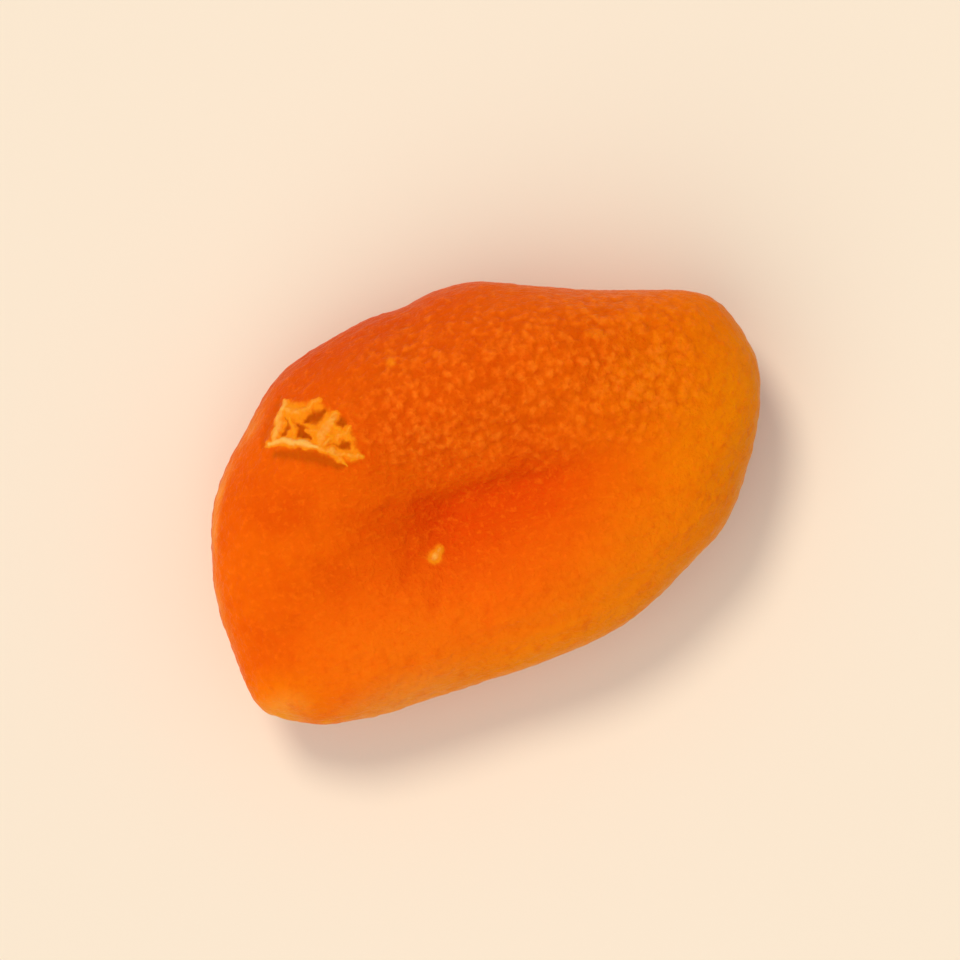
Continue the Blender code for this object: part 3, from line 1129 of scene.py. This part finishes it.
@dataclass
class Apricot:
    """The fruit as one piece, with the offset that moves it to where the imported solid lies."""

    form: FruitForm = field(default_factory=FruitForm)
    skin: FineSkin = field(default_factory=FineSkin)
    finish: SkinFinish = field(default_factory=SkinFinish)
    cells: tuple[int, int, int] = (40, 26, 11)
    smoothing: int = 2
    finer_from_band: float = 0.25
    finer_from_rise: float = 0.3
    plain_below: float = 0.05 * MM
    full_skin_above: float = 0.5 * MM
    rim_rises: tuple[float, ...] = (0.0, 0.3, 0.4, 0.64)
    offset: Vector = field(default_factory=Vector)

    def build(self) -> bpy.types.Object:
        """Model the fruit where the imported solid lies, and dress it.

        Returns:
            The finished piece.
        """
        fruit = self.add_block()
        for vert in fruit.data.vertices:
            vert.co = self.form.skin_point(vert.co.copy())
        self.set_down(fruit)
        self.smooth(fruit)
        self.refine(fruit, self.wants_finer)
        self.refine(fruit, self.skin.torn_end.near)
        self.add_fine_skin(fruit)
        fruit.data.materials.append(self.finish.make())
        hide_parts("apricot")
        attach(fruit, "root")
        return fruit

    def add_block(self) -> bpy.types.Object:
        """A block of square cells, each of x, y and z from -1 to 1.

        Returns:
            The block.
        """
        bpy.ops.object.select_all(action="DESELECT")
        bpy.ops.mesh.primitive_cube_add(size=2.0, location=(0.0, 0.0, 0.0))
        block = bpy.context.object
        block.name = block.data.name = "apricot_fruit"
        bpy.ops.object.mode_set(mode="EDIT")
        bpy.ops.mesh.select_mode(type="EDGE")
        for axis, cells in enumerate(self.cells):
            edges = bmesh.from_edit_mesh(block.data)
            for edge in edges.edges:
                along = edge.verts[0].co - edge.verts[1].co
                edge.select_set(abs(along[axis]) > TINY)
            bmesh.update_edit_mesh(block.data)
            bpy.ops.mesh.subdivide(number_cuts=cells - 1)
        bpy.ops.object.mode_set(mode="OBJECT")
        return block

    def set_down(self, fruit: bpy.types.Object) -> None:
        """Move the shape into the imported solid's box and press its belly flat on the surface.

        Args:
            fruit: the shaped block.
        """
        low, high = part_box("apricot")
        places = [vert.co for vert in fruit.data.vertices]
        middle_x = (min(place.x for place in places) + max(place.x for place in places)) / 2.0
        middle_y = (min(place.y for place in places) + max(place.y for place in places)) / 2.0
        self.offset = Vector((
            (low[0] + high[0]) / 2.0 - middle_x,
            (low[1] + high[1]) / 2.0 - middle_y,
            high[2] - max(place.z for place in places),
        ))
        for vert in fruit.data.vertices:
            vert.co += self.offset
            vert.co.z = max(vert.co.z, low[2])

    def smooth(self, fruit: bpy.types.Object) -> None:
        """Round the cells off with a subdivision surface.

        Args:
            fruit: the shaped block.
        """
        rounding = fruit.modifiers.new("rounding", "SUBSURF")
        rounding.levels = rounding.render_levels = self.smoothing
        bpy.ops.object.modifier_apply(modifier=rounding.name)
        bpy.ops.object.shade_smooth()

    def wants_finer(self, plan: Vector) -> bool:
        """Whether a place, seen from above, is pebbled or torn."""
        return self.skin.band(plan) > self.finer_from_band or self.skin.torn_end.near(plan)

    def refine(self, fruit: bpy.types.Object, wanted: Callable[[Vector], bool]) -> None:
        """Cut the upper face's cells in four in one area.

        Args:
            fruit: the smooth fruit.
            wanted: whether a place, seen from above, is in the area.
        """
        bpy.ops.object.mode_set(mode="EDIT")
        bpy.ops.mesh.select_mode(type="FACE")
        bpy.ops.mesh.select_all(action="DESELECT")
        cells = bmesh.from_edit_mesh(fruit.data)
        for face in cells.faces:
            middle = face.calc_center_median() - self.offset
            face.select_set(face.normal.z > self.finer_from_rise and wanted(middle.xy))
        bmesh.update_edit_mesh(fruit.data)
        bpy.ops.mesh.subdivide(number_cuts=1)
        bpy.ops.object.mode_set(mode="OBJECT")

    def add_fine_skin(self, fruit: bpy.types.Object) -> None:
        """Raise the fine relief out of the smooth shape, and keep the marks for the finish.

        Args:
            fruit: the smooth fruit.
        """
        noise.seed_set(self.skin.seed)
        mesh = fruit.data
        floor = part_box("apricot")[0][2]
        rim_start, rim_full_from, rim_full_to, rim_end = self.rim_rises
        marks: dict[Mark, list[float]] = {mark: [] for mark in Mark}
        places = []
        for vert in mesh.vertices:
            own = vert.co - self.offset
            upper = vert.normal.z > 0.0
            touch = self.skin.touch(own, upper)
            full = smooth_step(self.plain_below, self.full_skin_above, vert.co.z - floor)
            place = vert.co + vert.normal * touch.out * full
            place.z = max(place.z, floor)
            places.extend(place)
            marks[Mark.PALE].append(touch.pale)
            marks[Mark.POCKET_SHADE].append(touch.pocket_shade)
            marks[Mark.GRAIN].append(touch.grain)
            marks[Mark.BAND].append(touch.band)
            # painted rim light: where the skin faces sideways and partly up
            rim = smooth_step(rim_end, rim_full_to, vert.normal.z)
            marks[Mark.RIM_LIGHT].append(rim * smooth_step(rim_start, rim_full_from, vert.normal.z))
            # painted shade: the hollow, the fold and the furrows
            fold = self.form.sunk_share(own.xy) if upper else 0.0
            marks[Mark.FOLD_SHADE].append(min(fold + touch.sunk, 1.0))
        mesh.vertices.foreach_set("co", places)
        for mark, values in marks.items():
            mesh.attributes.new(mark.value, "FLOAT", "POINT").data.foreach_set("value", values)
        mesh.update()


@dataclass(frozen=True)
class Light:
    """A broad far light.

    Attributes:
        name: what it is called.
        direction: the way its light goes.
        softness: how wide it looks from the fruit, as an angle.
        share: the light that it adds to a level floor, as red, green and blue shares.
    """

    name: str
    direction: Vector
    softness: float
    share: tuple[float, float, float]

    def add(self) -> None:
        """Add the light to the scene."""
        strongest = max(self.share)
        sun = bpy.data.lights.new(self.name, "SUN")
        sun.energy = strongest * math.pi / -self.direction.normalized().z
        sun.color = [share / strongest for share in self.share]
        sun.angle = self.softness
        lamp = bpy.data.objects.new(self.name, sun)
        lamp.rotation_euler = self.direction.to_track_quat("-Z", "Y").to_euler()
        bpy.context.scene.collection.objects.link(lamp)


@dataclass
class Studio:
    """A cream floor, the camera overhead, and soft light from the picture's upper and lower left."""

    floor_size: float = 6.0
    picture_turn: float = math.radians(-27.63)
    picture_width: float = 70.0 * MM
    camera_height: float = 0.6
    sensor: float = 36.0
    lights: tuple[Light, ...] = (
        Light("key", Vector((0.08, -0.86, -1.35)), math.radians(18.0), (0.39, 0.35, 0.31)),
        Light("fill", Vector((0.75, 0.45, -1.1)), math.radians(70.0), (0.29, 0.26, 0.23)),
    )
    sky_share: tuple = (0.37, 0.44, 0.51)

    def build(self) -> None:
        """Make the floor, the lights and the camera."""
        self.add_floor()
        self.add_sky()
        for light in self.lights:
            light.add()
        self.add_camera()

    def add_floor(self) -> None:
        """The surface that the fruit lies on."""
        bpy.ops.object.select_all(action="DESELECT")
        bpy.ops.mesh.primitive_plane_add(size=self.floor_size, location=(0.0, 0.0, 0.0))
        floor = bpy.context.object
        floor.name = "floor"
        floor.data.materials.append(FloorFinish().make())

    def add_sky(self) -> None:
        """An even cool sky, which makes the light on the floor neutral and a little over full."""
        world = bpy.data.worlds.new("sky")
        world.use_nodes = True
        background = world.node_tree.nodes["Background"]
        background.inputs["Color"].default_value = (*self.sky_share, 1.0)
        bpy.context.scene.world = world

    def add_camera(self) -> None:
        """A long lens straight above, turned as the fruit lies in the picture."""
        camera = bpy.data.cameras.new("camera")
        camera.sensor_width = self.sensor
        camera.lens = self.sensor * self.camera_height / self.picture_width
        view = bpy.data.objects.new("camera", camera)
        view.location = (0.0, 0.0, self.camera_height)
        view.rotation_euler = (0.0, 0.0, self.picture_turn)
        bpy.context.scene.collection.objects.link(view)
        bpy.context.scene.camera = view
        bpy.context.scene.view_settings.view_transform = "Standard"


def main() -> None:
    """Build the fruit and its studio."""
    logging.basicConfig(level=logging.INFO, format="%(message)s")
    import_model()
    Studio().build()
    fruit = Apricot().build()
    log.info("%s: %d faces", fruit.name, len(fruit.data.polygons))


if __name__ == "__main__":
    main()
